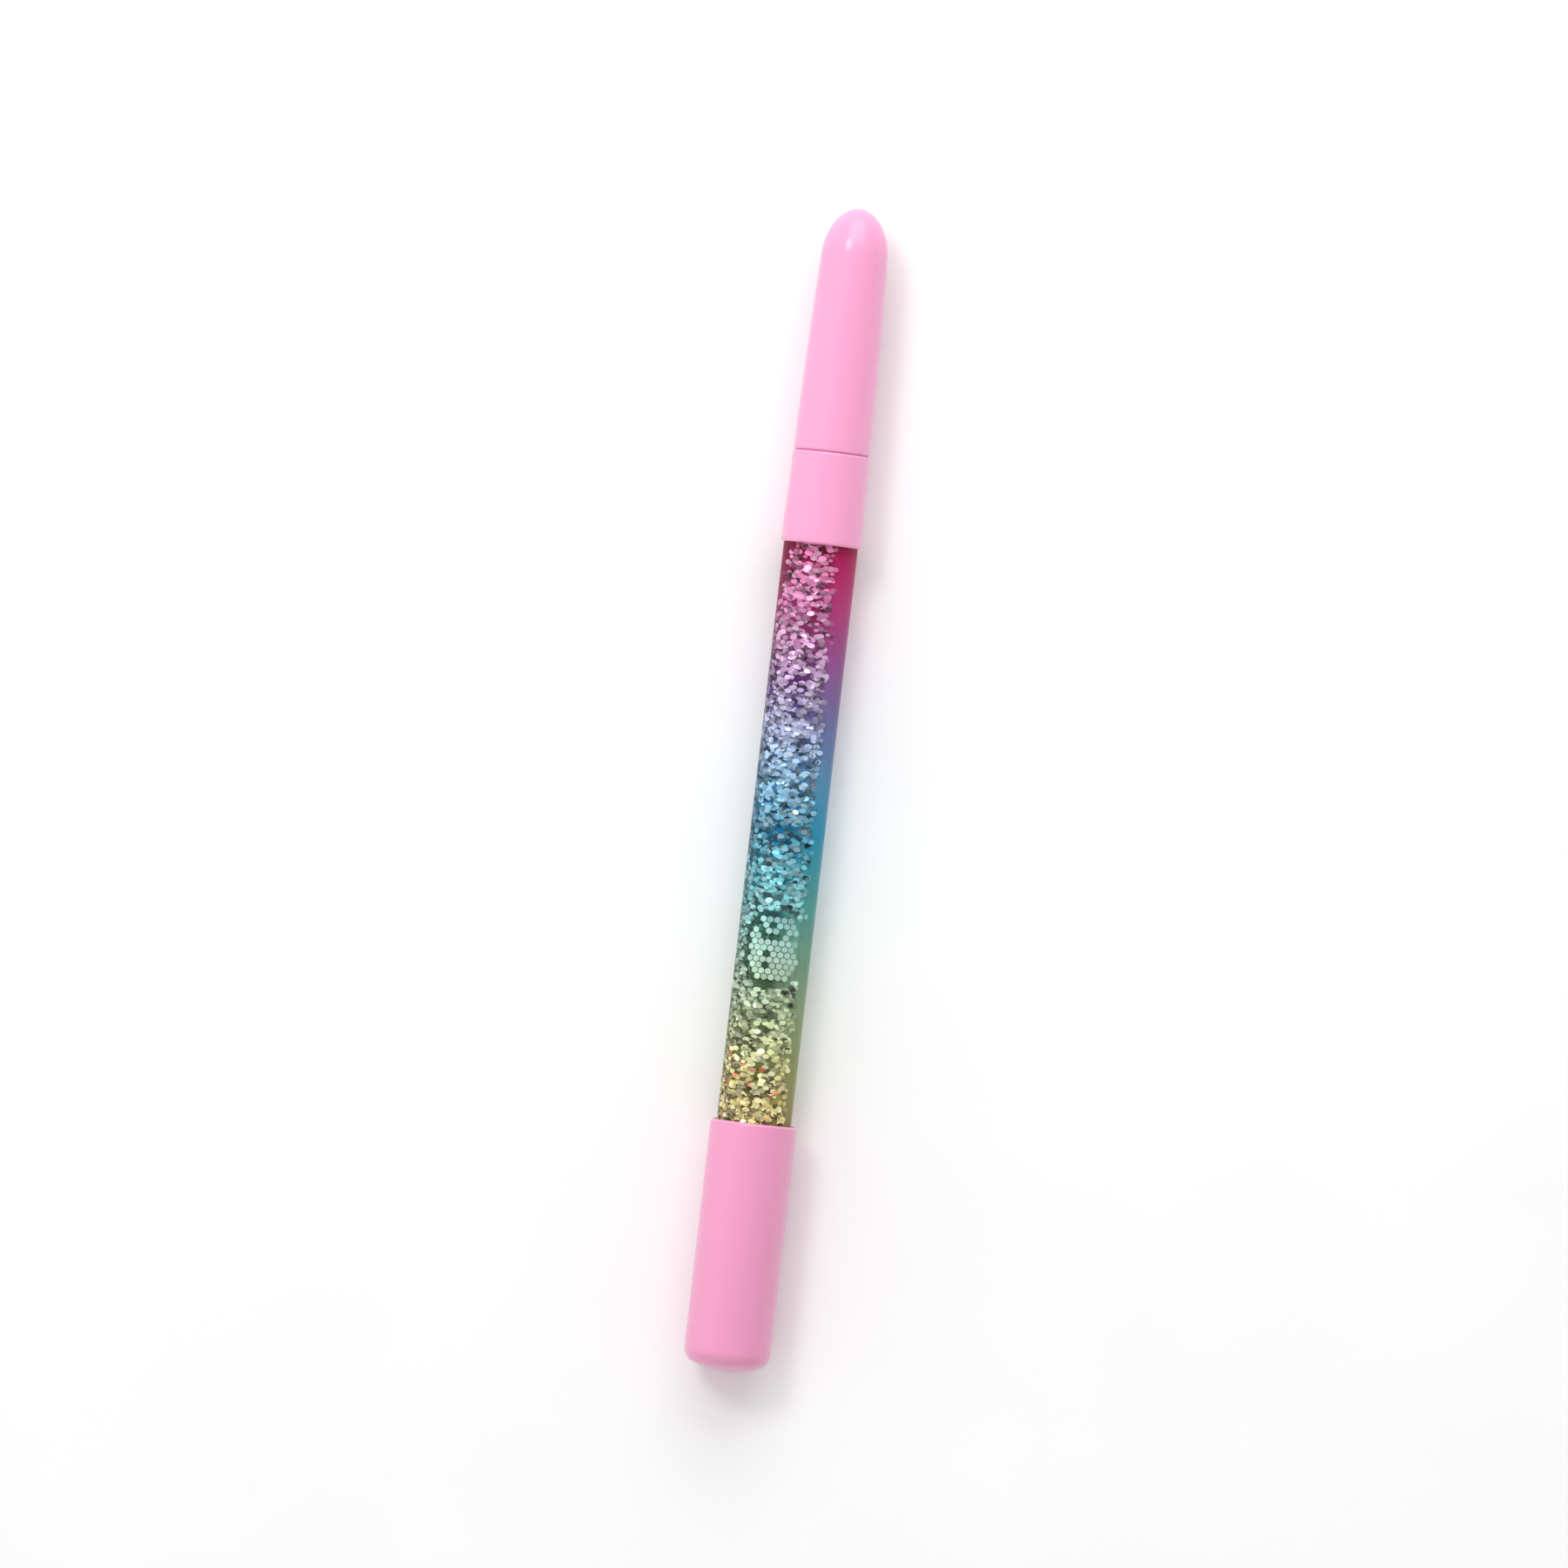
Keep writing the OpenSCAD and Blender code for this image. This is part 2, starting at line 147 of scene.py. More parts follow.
def add_rings(mesh, outline, closed=False, material_of=lambda index: 0, offset=Vector((0, 0, 0))):
    """Spins one outline into a bmesh. It runs up the outside, towards the cap, and down the inside.
    Material_of tells which finish each stretch of the outline takes."""
    rings = []
    for radius, along in outline:
        if radius < 1e-6:
            rings.append([mesh.verts.new(place(0, 0, along) + offset)] * LATHE_SIDES)
        else:
            step = 2 * math.pi / LATHE_SIDES
            rings.append([
                mesh.verts.new(place(radius, step * side, along) + offset)
                for side in range(LATHE_SIDES)
            ])
    count = len(outline)
    for index in range(count if closed else count - 1):
        near, far = rings[index], rings[(index + 1) % count]
        for side in range(LATHE_SIDES):
            after = (side + 1) % LATHE_SIDES
            corners = [near[side], near[after], far[after], far[side]]
            face = mesh.faces.new(list(dict.fromkeys(corners)))
            face.smooth = True
            face.material_index = material_of(index)
    for index, ring in enumerate(rings):
        before = outline[index - 1]
        after = outline[(index + 1) % count]
        if turn_angle(before, outline[index], after) > SHARP_TURN and ring[0] is not ring[1]:
            for side in range(LATHE_SIDES):
                edge = mesh.edges.get((ring[side], ring[(side + 1) % LATHE_SIDES]))
                if edge:
                    edge.smooth = False


def finish_piece(mesh, name, body, nodes, finishes):
    """Turns a bmesh into a named piece that rides on a body and stands for some CAD nodes."""
    data = bpy.data.meshes.new(name)
    mesh.to_mesh(data)
    mesh.free()
    piece = bpy.data.objects.new(name, data)
    bpy.context.scene.collection.objects.link(piece)
    for finish in finishes:
        data.materials.append(finish)
    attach(piece, body)
    if nodes:
        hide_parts(*nodes)
    print(name, "has", len(data.polygons), "faces and rides on", body)
    return piece


def lathe(name, outline, body, nodes, finishes, closed=False, material_of=lambda index: 0):
    """A turned piece, made of one outline."""
    mesh = bmesh.new()
    add_rings(mesh, outline, closed, material_of)
    return finish_piece(mesh, name, body, nodes, finishes)


print("every turned piece has", LATHE_SIDES, "sides")

# %% [markdown]
# ## Mixing colours and building finishes
#
# Shaders work in linear light, while we judge colours as a screen or a paint chart shows them. One
# small function converts between the two. The other helpers shorten the building of node trees, so
# that each finish below reads like a recipe.

# %% Helpers for colours and finishes


def paint(red, green, blue):
    """The linear colour of a paint chart's 0 to 255 values."""
    linear = []
    for value in (red, green, blue):
        share = value / 255
        linear.append(share / 12.92 if share <= 0.04045 else ((share + 0.055) / 1.055) ** 2.4)
    return (*linear, 1.0)


def start_finish(name, **settings):
    """A new material, its tree and its main shader. Settings are the shader's own sockets, with
    underscores for spaces."""
    finish = bpy.data.materials.new(name)
    finish.use_nodes = True
    tree = finish.node_tree
    shader = tree.nodes["Principled BSDF"]
    for socket, value in settings.items():
        shader.inputs[socket.replace("_", " ")].default_value = value
    return finish, tree, shader


def add_node(tree, kind, inputs=None, **attributes):
    """One more node, with its inputs linked to another node's output or set to a value."""
    node = tree.nodes.new("ShaderNode" + kind)
    for attribute, value in attributes.items():
        setattr(node, attribute, value)
    for socket, value in (inputs or {}).items():
        if isinstance(value, bpy.types.NodeSocket):
            tree.links.new(value, node.inputs[socket])
        else:
            node.inputs[socket].default_value = value
    return node


def place_in_mm(tree, stretch=(1, 1, 1)):
    """The point being shaded, in the object's own millimetres, stretched along each axis."""
    where = add_node(tree, "TexCoord").outputs["Object"]
    scale = [value / MM for value in stretch]
    return add_node(tree, "Mapping", {"Vector": where, "Scale": scale}).outputs["Vector"]


def noise(tree, size, detail=2.0, stretch=(1, 1, 1)):
    """Soft random blotches of about a given size in millimetres."""
    vector = place_in_mm(tree, stretch)
    made = add_node(tree, "TexNoise", {"Vector": vector, "Scale": 1 / size, "Detail": detail})
    return made.outputs["Fac"]


def spread(tree, value, low, high, from_low=0.3, from_high=0.7):
    """Moves a value from one range to another, without going past its ends."""
    made = add_node(tree, "MapRange", {
        "Value": value, "From Min": from_low, "From Max": from_high,
        "To Min": low, "To Max": high,
    })
    return made.outputs["Result"]


def blend_colours(tree, share, first, second, blend="MIX"):
    """A mix of two colours by a share, or another of the Mix node's blends."""
    made = add_node(tree, "Mix", {"Factor": share}, data_type="RGBA", blend_type=blend)
    for socket, colour in (("A", first), ("B", second)):
        slot = next(i for i in made.inputs if i.name == socket and i.type == "RGBA")
        if isinstance(colour, bpy.types.NodeSocket):
            tree.links.new(colour, slot)
        else:
            slot.default_value = colour
    return next(output for output in made.outputs if output.type == "RGBA")


def bump(tree, height, depth, shader):
    """Gives a shader a relief, with its depth in millimetres."""
    made = add_node(tree, "Bump", {"Height": height, "Distance": depth * MM, "Strength": 1.0})
    tree.links.new(made.outputs["Normal"], shader.inputs["Normal"])


print("mid grey in linear light:", round(paint(128, 128, 128)[0], 3))

# %% [markdown]
# ## The rainbow in the barrel
#
# The clear tube is tinted in a gradient from yellow at the tail, through green, teal and blue, to
# magenta at the collar. The tint shows twice: lightly on the flakes, which lie against the wall,
# and deeply in the band of oil that no flake covers. A colour ramp along the pen makes both, and
# the stops are spaced in millimetres from the tail, so that they follow the tube.

# %% The two gradients
tube_start, tube_end, tube_radius = extent("barrel_tube")
RAINBOW = (
    # along, light tint, deep tint
    (43, paint(250, 234, 168), paint(206, 200, 134)),
    (51, paint(240, 240, 180), paint(200, 208, 152)),
    (60, paint(204, 222, 186), paint(198, 224, 182)),
    (69, paint(186, 224, 212), paint(166, 218, 192)),
    (77, paint(140, 214, 220), paint(124, 216, 214)),
    (87, paint(90, 180, 206), paint(60, 212, 244)),
    (97, paint(176, 216, 242), paint(136, 200, 236)),
    (106, paint(196, 190, 226), paint(166, 162, 218)),
    (115, paint(218, 176, 216), paint(204, 126, 200)),
    (124, paint(238, 152, 204), paint(236, 92, 172)),
    (133, paint(252, 142, 198), paint(238, 44, 132)),
)


def rainbow(tree, deep):
    """The tint at the point being shaded, light or deep."""
    along = add_node(tree, "SeparateXYZ", {"Vector": add_node(tree, "TexCoord").outputs["Object"]})
    share = add_node(tree, "MapRange", {
        "Value": along.outputs["Y"],
        "From Min": TAIL_Y + tube_start * MM, "From Max": TAIL_Y + tube_end * MM,
    })
    ramp = add_node(tree, "ValToRGB", {"Fac": share.outputs["Result"]})
    stops = ramp.color_ramp.elements
    while len(stops) < len(RAINBOW):
        stops.new(0.5)
    for stop, (at, light, dark) in zip(stops, RAINBOW):
        stop.position = (at - tube_start) / (tube_end - tube_start)
        stop.color = dark if deep else light
    return ramp.outputs["Color"]


print("the rainbow has", len(RAINBOW), "stops along", round(tube_end - tube_start, 1), "mm of tube")

# %% [markdown]
# ## Pink plastic
#
# The sleeve, collar and cap are moulded in one pink plastic. Up close a moulded part is never
# perfect: its colour clouds a little, its gloss is rippled like orange peel, and handling wears
# the shine in soft patches. Each of these is one noise texture, kept faint.

# %% Make the pink plastic


def make_pink_plastic(name, colour, cloudy):
    """Glossy moulded plastic that clouds from one colour to the other, with rare darker specks."""
    finish, tree, shader = start_finish(name, IOR=1.49, Coat_Weight=0.25, Coat_Roughness=0.08)
    clouds = spread(tree, noise(tree, 9.0, 3.0, (1, 0.4, 1)), 0.0, 1.0)
    specks = spread(tree, noise(tree, 0.35, 1.0), 0.0, 1.0, 0.74, 0.8)
    clouded = blend_colours(tree, clouds, colour, cloudy)
    speck_colour = [value * 0.93 for value in cloudy[:3]] + [1.0]
    speckled = blend_colours(tree, specks, clouded, speck_colour)
    tree.links.new(speckled, shader.inputs["Base Color"])
    worn = noise(tree, 4.0, 0.0, (1, 0.3, 1))
    tree.links.new(spread(tree, worn, 0.275, 0.295), shader.inputs["Roughness"])
    peel = noise(tree, 1.6, 2.0)
    bump(tree, peel, 0.006, shader)
    return finish


pink_plastic = make_pink_plastic("pink_plastic", paint(244, 162, 202), paint(241, 158, 198))
sleeve_plastic = make_pink_plastic("sleeve_plastic", paint(235, 153, 191), paint(232, 150, 188))
print("made", pink_plastic.name, "for the cap's end and", sleeve_plastic.name, "for the tail")

# %% [markdown]
# ## Tail sleeve
#
# A deep thimble of pink plastic, glued over the tube's end. Its closed end is slightly crowned, and
# a rounded corner runs into the straight side. A lathe outline gives the crown and the corner as
# two arcs that meet without a kink.

# %% Turn the tail sleeve
glue_gap = 0.05
socket_radius = tube_radius + glue_gap
_, sleeve_end, sleeve_radius = extent("tail_sleeve")
sleeve_corner = 2.6
sleeve_crown = 14.8
sleeve_end_wall = 1.5
sleeve_lip = 0.55


def make_tail_sleeve():
    """A thimble: a crowned end, a rounded corner, a straight side and a rounded lip."""
    corner_at = sleeve_radius - sleeve_corner
    lean = math.degrees(math.asin(corner_at / (sleeve_crown - sleeve_corner)))
    corner_along = sleeve_crown - (sleeve_crown - sleeve_corner) * math.cos(math.radians(lean))
    pocket_radius = socket_radius - sleeve_corner
    outline = [
        *arc(0, sleeve_crown, sleeve_crown, -90, -90 + lean, 10),
        *arc(corner_at, corner_along, sleeve_corner, -90 + lean, 0, 18)[1:],
        *arc(sleeve_radius - sleeve_lip, sleeve_end - sleeve_lip, sleeve_lip, 0, 90, 8),
        *arc(socket_radius + sleeve_lip, sleeve_end - sleeve_lip, sleeve_lip, 90, 180, 8),
        (socket_radius, tube_start),
        (pocket_radius, tube_start),
        (pocket_radius, sleeve_end_wall),
        (0, sleeve_end_wall),
    ]
    return lathe("tail_sleeve_moulding", outline, "barrel",
                 ["tail_sleeve"], [sleeve_plastic])


make_tail_sleeve()

# %% [markdown]
# ## Collar and cap
#
# The collar is a short waisted ring: wide where it laps over the tube, and narrower at the seam
# where the cap begins. The cap tapers slowly and ends in a long dome. The seam between them is a
# real gap with two rounded edges, which is what makes it read as a thin dark line.

# %% Turn the collar and the cap
collar_start, _, collar_radius = extent("front_collar")
cap_start, cap_end, cap_radius = extent("cap_shell")
collar_draft = 0.5
collar_lip = 0.45
seam_rounding = 0.4
seam_gap = 0.04
collar_web = 0.8
collar_wall = 1.0
collar_steps = 24
cap_wall = 1.2
cap_draft = 0.8
cap_bow = 0.1
cap_steps = 20
mouth_depth = 8.45
mouth_step = 0.3
seal_ledge = 1.2
dome_length = 7.6
dome_steps = 24


def smooth_step(share):
    """0 to 1, starting and ending gently."""
    return share * share * (3 - 2 * share)


def make_collar():
    """A short ring that narrows towards the seam. A web inside it stops the tube."""
    seam_radius = collar_radius - collar_draft / 2
    side_start = collar_start + collar_lip
    face = cap_start - seam_gap
    side_length = face - seam_rounding - side_start
    nose_socket = seam_radius - collar_wall
    side = []
    for step in range(1, collar_steps):
        share = step / collar_steps
        radius = collar_radius - collar_draft / 2 * smooth_step(share)
        side.append((radius, side_start + side_length * share))
    outline = [
        (0, tube_end),
        (socket_radius, tube_end),
        (socket_radius, collar_start),
        *arc(collar_radius - collar_lip, side_start, collar_lip, -90, 0, 8),
        *side,
        *arc(seam_radius - seam_rounding, face - seam_rounding, seam_rounding, 0, 90, 8),
        (nose_socket, face),
        (nose_socket, tube_end + collar_web),
        (0, tube_end + collar_web),
    ]
    return lathe("collar_moulding", outline, "barrel",
                 ["front_collar"], [pink_plastic])


def cap_side(share):
    """The cap's radius at a share of the way from its mouth to its dome, and on under the dome."""
    return cap_radius - cap_draft * share + 4 * cap_bow * share * (1 - share)


def make_cap():
    """A tapering shell with a long dome. Inside, a straight mouth grips the nose's spigot, and a
    cone beyond it clears the nose and ends in the pocket of the seal."""
    dome_start = cap_end - dome_length
    side_length = dome_start - cap_start
    mouth_radius = cap_radius - cap_wall
    mouth_end = cap_start + mouth_depth
    seal_start, seal_end, seal_radius = extent("cap_seal")
    dome = []
    for step in range(dome_steps):
        angle = math.radians(90 * step / dome_steps)
        along = dome_start + dome_length * math.sin(angle)
        dome.append((cap_side((along - cap_start) / side_length) * math.cos(angle), along))
    dome.append((0.0, cap_end))
    side = [
        (cap_side(step / cap_steps), cap_start + side_length * step / cap_steps)
        for step in range(1, cap_steps)
    ]
    outline = [
        (0, seal_end),
        (seal_radius, seal_end),
        (seal_radius, seal_start),
        (seal_radius + seal_ledge, seal_start),
        (mouth_radius - mouth_step, mouth_end),
        (mouth_radius, mouth_end),
        (mouth_radius, cap_start),
        *arc(cap_radius - seam_rounding, cap_start + seam_rounding, seam_rounding, -90, 0, 8),
        *side,
        *dome,
    ]
    return lathe("cap_moulding", outline, "cap", ["cap_shell"], [pink_plastic])


make_collar()
make_cap()

# %% [markdown]
# ## The clear tube
#
# Acrylic bends light: it magnifies what is inside and makes the tube look full. The tube and the
# oil bend light almost equally, so the wall between them can't be seen. The outer surface is
# therefore glass, and the bore lets light straight through. Lamps have to shine in as well, so the
# glass steps aside for shadow rays, tinted as it goes.

# %% Make the clear finishes and turn the tube


def lamp_friendly(tree, surface, tint):
    """Glass for everything that is seen, and a plain tint for the light of lamps."""
    passing = add_node(tree, "BsdfTransparent", {"Color": tint})
    to_lamp = add_node(tree, "LightPath").outputs["Is Shadow Ray"]
    mixed = add_node(tree, "MixShader", {0: to_lamp, 1: surface, 2: passing.outputs[0]})
    output = tree.nodes["Material Output"]
    tree.links.new(mixed.outputs[0], output.inputs["Surface"])


def clear_as_glass(name, tint_of, gloss, ior):
    """Bends light as glass does. Gloss is the share of glass's own reflection that is kept."""
    finish, tree, shader = start_finish(name)
    tree.nodes.remove(shader)
    tint = tint_of(tree)
    glass = add_node(tree, "BsdfGlass", {"Color": tint, "IOR": ior, "Roughness": 0.0})
    bent = add_node(tree, "BsdfRefraction", {"Color": tint, "IOR": ior, "Roughness": 0.0})
    mixed = add_node(tree, "MixShader", {0: gloss, 1: bent.outputs[0], 2: glass.outputs[0]})
    ripple = add_node(tree, "Bump", {
        "Height": noise(tree, 5.0, 1.0, (1, 0.25, 1)), "Distance": 0.004 * MM, "Strength": 1.0,
    })
    for surface in (glass, bent):
        tree.links.new(ripple.outputs["Normal"], surface.inputs["Normal"])
    lamp_friendly(tree, mixed.outputs[0], tint)
    return finish


def pale_rainbow(tree):
    """The light tint, faded almost to white."""
    return blend_colours(tree, tube_paleness, rainbow(tree, deep=False), (1, 1, 1, 1))


def make_clear(name, tint_of):
    """A surface that bends nothing: light goes straight on and only takes its tint."""
    finish, tree, shader = start_finish(name)
    passing = add_node(tree, "BsdfTransparent", {"Color": tint_of(tree)})
    tree.links.new(passing.outputs[0], tree.nodes["Material Output"].inputs["Surface"])
    tree.nodes.remove(shader)
    return finish


def faint_streaks(tree):
    """Almost white, with faint flow lines along the pen."""
    share = spread(tree, noise(tree, 2.0, 2.0, (1, 0.1, 1)), 0.0, 1.0)
    return blend_colours(tree, share, (0.97, 0.98, 0.98, 1), (1, 1, 1, 1))


tube_paleness = 0.88
tinted_acrylic = clear_as_glass("tinted_acrylic", pale_rainbow, gloss=0.4, ior=1.49)
bore_clear = make_clear("bore_clear", faint_streaks)
bore_radius = 5.1


def make_tube():
    """A plain pipe, glass all over except for its bore."""
    outline = [
        (tube_radius, tube_start),
        (tube_radius, tube_end),
        (bore_radius, tube_end),
        (bore_radius, tube_start),
    ]
    bore_side = 2
    return lathe("clear_tube", outline, "barrel", ["barrel_tube"],
                 [tinted_acrylic, bore_clear],
                 closed=True, material_of=lambda index: 1 if index == bore_side else 0)


make_tube()

# %% [markdown]
# ## The oil
#
# The flakes float in a ring near the wall, so the oil is modelled as the core inside that ring.
# What lies behind it takes the deep tint, and the flakes in front of it keep the light one. The
# oil isn't perfectly clear: the finest dust of the glitter clouds it a little, so its finish mixes
# a share of plain colour into the see-through one.

# %% Pour the oil
liquid_start, liquid_end, _ = extent("barrel_liquid")
core_radius = 4.4
haze_most = 0.45


def make_oil_finish():
    """Mostly clear, with a haze of the finest glitter dust on the side that the flakes leave free."""
    finish, tree, haze = start_finish("tinted_oil", Roughness=0.6, Specular_IOR_Level=0.0)
    deep = rainbow(tree, deep=True)
    thinned = add_node(tree, "Gamma", {"Color": deep, "Gamma": 0.5})
    swirl = spread(tree, noise(tree, 6.0, 3.0, (1, 0.3, 1)), 0.94, 1.0)
    swirled = add_node(tree, "HueSaturation", {"Value": swirl, "Color": thinned.outputs[0]})
    clear = add_node(tree, "BsdfTransparent", {"Color": swirled.outputs[0]})
    tree.links.new(deep, haze.inputs["Base Color"])
    across = add_node(tree, "SeparateXYZ", {"Vector": place_in_mm(tree)}).outputs["X"]
    dust = spread(tree, across, 0.05, haze_most, 0.0, 3.0)
    mixed = add_node(tree, "MixShader", {0: dust, 1: clear.outputs[0], 2: haze.outputs[0]})
    tree.links.new(mixed.outputs[0], tree.nodes["Material Output"].inputs["Surface"])
    return finish


tinted_oil = make_oil_finish()


def make_oil():
    """The core of the liquid, a hair short of the stoppers at both ends."""
    margin = 0.05
    outline = [
        (0, liquid_start + margin),
        (core_radius, liquid_start + margin),
        (core_radius, liquid_end - margin),
        (0, liquid_end - margin),
    ]
    return lathe("oil_core", outline, "barrel", ["barrel_liquid"], [tinted_oil])


make_oil()

# %% [markdown]
# ## The air bubble
#
# A bubble is a hole in the oil, and at its edge light turns back, which draws a dark green outline.
# Its surface must be glass seen from the oil's side, so the shell's inner skin, which faces the air,
# carries the glass, and its outer skin lets light straight through. The flakes around it hide much
# of the outline, so the glass's tint also carries painted shade: it turns dark green where the
# surface curves away from the eye.

# %% Blow the bubble
bubble_start, bubble_end, bubble_radius = extent("air_bubble")
bubble_low, bubble_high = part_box("air_bubble")
bubble_lift = (bubble_low[2] + bubble_high[2]) / 2 - AXIS_HEIGHT
bubble_skin = 0.1


def mint_and_painted_rim(tree):
    """Pale green, with painted shade that turns it dark green where the surface curves away from the
    eye.
    """
    share = spread(tree, noise(tree, 3.0), 0.0, 1.0)
    pale = blend_colours(tree, share, paint(214, 244, 232), paint(236, 250, 244))
    # painted shade: the tint darkens to dark green towards the bubble's rim
    turned = add_node(tree, "LayerWeight", {"Blend": 0.5}).outputs["Facing"]
    rim_painted_shade = spread(tree, turned, 0.0, 1.0, 0.6, 0.85)
    return blend_colours(tree, rim_painted_shade, pale, paint(50, 128, 108))


def capsule(radius, start, end, steps=16):
    """The outline of a bar with round ends, up its outside from one pole to the other."""
    back = arc(0, start + radius, radius, -90, 0, steps)
    front = arc(0, end - radius, radius, 0, 90, steps)
    back[0] = (0, start)
    front[-1] = (0, end)
    return back + front


def make_bubble():
    """A thin skin with round ends, lifted to where air floats in the tube."""
    outer = capsule(bubble_radius, bubble_start, bubble_end)
    inner = capsule(bubble_radius - bubble_skin, bubble_start + bubble_skin, bubble_end - bubble_skin)
    mesh = bmesh.new()
    lift = Vector((0, 0, bubble_lift))
    add_rings(mesh, outer, offset=lift)
    add_rings(mesh, inner[::-1], material_of=lambda index: 1, offset=lift)
    bubble_edge = clear_as_glass("bubble_edge", mint_and_painted_rim, gloss=1.0, ior=1.47)
    return finish_piece(mesh, "bubble_shell", "bubble", ["air_bubble"],
                        [bore_clear, bubble_edge])


make_bubble()

# %% [markdown]
# ## Glitter
#
# The flakes are punched from metallised film: tiny hexagons of a millimetre or less. They pack
# against the wall like shingles, each tipped its own way, and so each catches the light
# differently. Thousands of real thin prisms in one mesh are still quick to draw. Each flake also
# gets its own painted light, stored in a colour attribute, which the finish puts to use: a painted
# tone that brightens it as a painted reflection and darkens it as painted shade, and a painted glint.
#
# A flake that is tipped by much more than 20 degrees mirrors the dark inside of the tube and turns
# black. So the tips here are small, and the flakes are cut narrower along the pen instead, which
# gives the look of steeper ones.

# %% Cut one flake
flake_thickness = 0.06


def add_flake(mesh, layer, centre_radius, angle, along, width, tip, roll, spin, painted_tone,
              painted_glint=0.0, stretch=1.0):
    """One hexagonal prism, lying against the wall and then tipped, rolled and spun. Its colour
    attribute holds its painted tone and its painted glint, which are painted light."""
    corner = width / math.sqrt(3)
    pressed = Matrix.Diagonal((1, stretch, 1)) @ Matrix.Rotation(spin, 3, "Z")
    local = Matrix.Rotation(tip, 3, "X") @ Matrix.Rotation(roll, 3, "Y") @ pressed
    around = Matrix.Rotation(angle, 3, "Y")
    centre = place(centre_radius, angle, along)
    rings = []
    for height in (-flake_thickness / 2, flake_thickness / 2):
        ring = []
        for index in range(6):
            turn = math.radians(60 * index)
            point = Vector((corner * math.cos(turn), corner * math.sin(turn), height)) * MM
            ring.append(mesh.verts.new(centre + around @ (local @ point)))
        rings.append(ring)
    lower, upper = rings
    faces = [mesh.faces.new(upper), mesh.faces.new(lower[::-1])]
    for index in range(6):
        after = (index + 1) % 6
        faces.append(mesh.faces.new([lower[index], lower[after], upper[after], upper[index]]))
    # painted light: each flake carries its painted tone and painted glint in the colour layer
    for face in faces:
        for loop in face.loops:
            loop[layer] = (painted_tone, painted_glint, 0.0, 1.0)


print("a flake is", flake_thickness, "mm thick")

# %% [markdown]
# ## Where the flakes may lie
#
# A band along the right side of the tube is left clear, wide at the cap end and narrow at the
# tail, and near the cap the flakes thin out on the left too. An oval over the bubble is kept for
# flakes that lie flat. The cloud drifts a little in the oil, so it stops short of the front
# stopper by as much as it can drift.

# %% Mark the clear places
# LEFT_START is in millimetres from the tail. Edges are in degrees from the top of the tube.
CLEAR_AT_TAIL = 60
CLEAR_GAIN = 30
CLEAR_BEND = 1.3
CLEAR_END = math.radians(168)
LEFT_START = 114
LEFT_AT_START = 110
LEFT_LOSS = 52
OVAL_POWER = 2.6


def joint_reach(name):
    """How far a sliding joint goes from its rest, in millimetres."""
    joint = next(joint for joint in frame["joints"] if joint["name"] == name)
    return max(joint["range_m"]) / MM


def clear_edge(along):
    """The angle at which the clear band starts, from the top of the tube, in radians."""
    share = max(along - sleeve_end, 0) / (collar_start - sleeve_end)
    return math.radians(CLEAR_AT_TAIL - CLEAR_GAIN * share ** CLEAR_BEND)


def left_edge(along):
    """The angle from the top at which the flakes end on the left, which they do near the cap only."""
    share = max(along - LEFT_START, 0) / (collar_start - LEFT_START)
    return math.radians(180 if share == 0 else LEFT_AT_START - LEFT_LOSS * share)


cloud_start = sleeve_end - 5
cloud_end = liquid_end - joint_reach("glitter_drift") - 0.7
bubble_middle = (bubble_start + bubble_end) / 2


def above_bubble(angle, along, reach, half_width):
    """Whether a place on the wall lies in an oval over the bubble. Reach is how far the oval goes
    past the bubble's ends, and half_width is in degrees round the tube."""
    half_length = (bubble_end - bubble_start) / 2 + reach
    side = (angle + math.pi) % (2 * math.pi) - math.pi
    ahead = abs(along - bubble_middle) / half_length
    aside = abs(side) / math.radians(half_width)
    return ahead ** OVAL_POWER + aside ** OVAL_POWER < 1


print("the cloud of flakes runs from", round(cloud_start, 1), "to", round(cloud_end, 1), "mm")

# %% [markdown]
# ## Scattering the flakes
#
# The loose flakes are thrown at random, with a fixed seed, and each one that lands in a clear
# place is thrown away. Over the bubble the flakes float flat against the wall, in the close rows
# of a honeycomb with a few gaps.

# %% Scatter the loose flakes and lay the flat ones
flake_tries = 8600
flake_layers = (4.52, 4.7, 4.86)
flake_widths = (1.1, 1.05, 1.0, 0.7)
# painted light: these tones brighten flakes as a painted reflection, and the darkest stand for painted
# shade between flakes
painted_flake_tones = (0.15, 0.55, 0.95, 1.25, 1.5)
flake_squash = 0.7
usual_tip = math.radians(11)
tip_spread = math.radians(14)
roll_spread = math.radians(8)
wall_gap = 0.02
core_gap = 0.05
red_start = 44
red_end = 51
red_share = 0.10
flat_pitch = 1.06
flat_row = flat_pitch * 0.87
flat_width = 0.93
flat_radius = 4.93
flat_turn_radius = 4.9
flat_share = 0.9


def rest_radius(centre_radius, width, tip, roll):
    """How far from the axis a tipped flake can lie, between the oil's core and the wall."""
    lean = (abs(math.sin(tip)) + abs(math.sin(roll))) * width / 2 + flake_thickness / 2
    sag = centre_radius - math.sqrt(centre_radius ** 2 - (width / 2) ** 2)
    pressed = min(centre_radius, bore_radius - lean - sag - wall_gap)
    return max(pressed, core_radius + core_gap)


